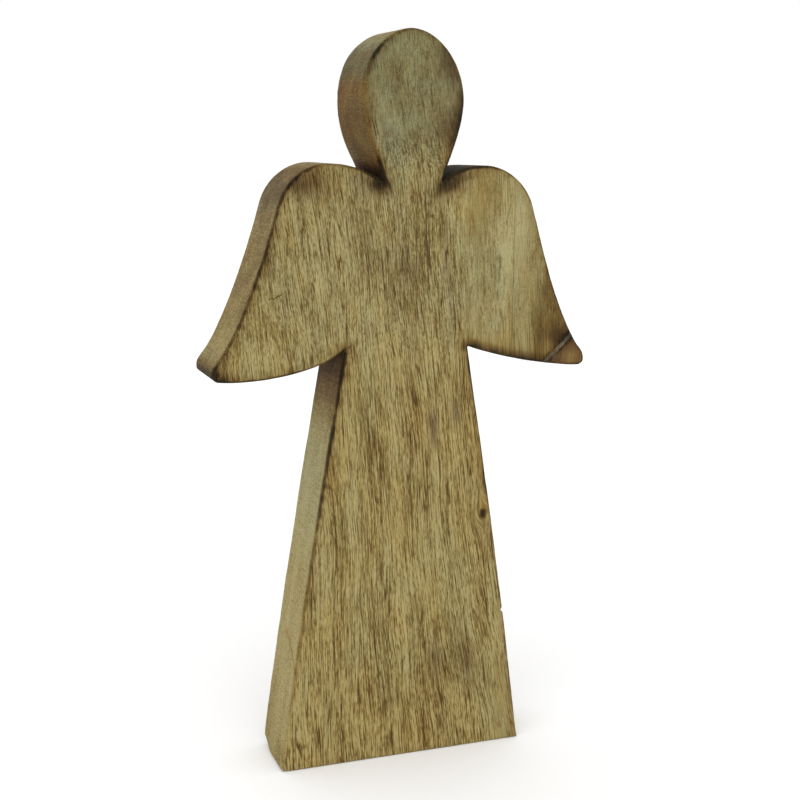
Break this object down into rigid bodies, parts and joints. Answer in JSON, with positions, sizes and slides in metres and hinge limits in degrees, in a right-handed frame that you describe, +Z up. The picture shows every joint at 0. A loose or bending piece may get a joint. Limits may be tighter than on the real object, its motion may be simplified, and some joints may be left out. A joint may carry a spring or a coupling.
{
  "type": "wooden angel figurine",
  "caption": "Free-standing angel silhouette sawn from a thick wooden plank, with a blank oval head, drooping wings and a long flared gown with softened edges.",
  "frame": {"origin": "middle of the flat base, on the surface that the figurine stands on", "axes": "+Z up from the base to the crown, front face towards -Y, +X towards the glued wing strip, on the right as seen from the front"},
  "size_m": [0.203, 0.039, 0.38],
  "materials": {
    "main_board_wood": "waxed mango wood, dense dark pores, charred edges, satin",
    "second_board_wood": "waxed mango wood, fine plain figure, charred edges, satin",
    "wing_tip_wood": "waxed mango wood, orange-brown, satin",
    "joint_glue": "cured wood glue, thin dark line",
    "joint_filler": "grey-green wood filler, matt"
  },
  "bodies": {
    "root": {"main_board": "main_board_wood", "wing_strip": "second_board_wood", "wing_tip": "wing_tip_wood", "gown_corner": "second_board_wood", "wing_glue": "joint_glue", "gown_glue": "joint_glue", "tip_filler": "joint_filler"}
  },
  "joints": []
}
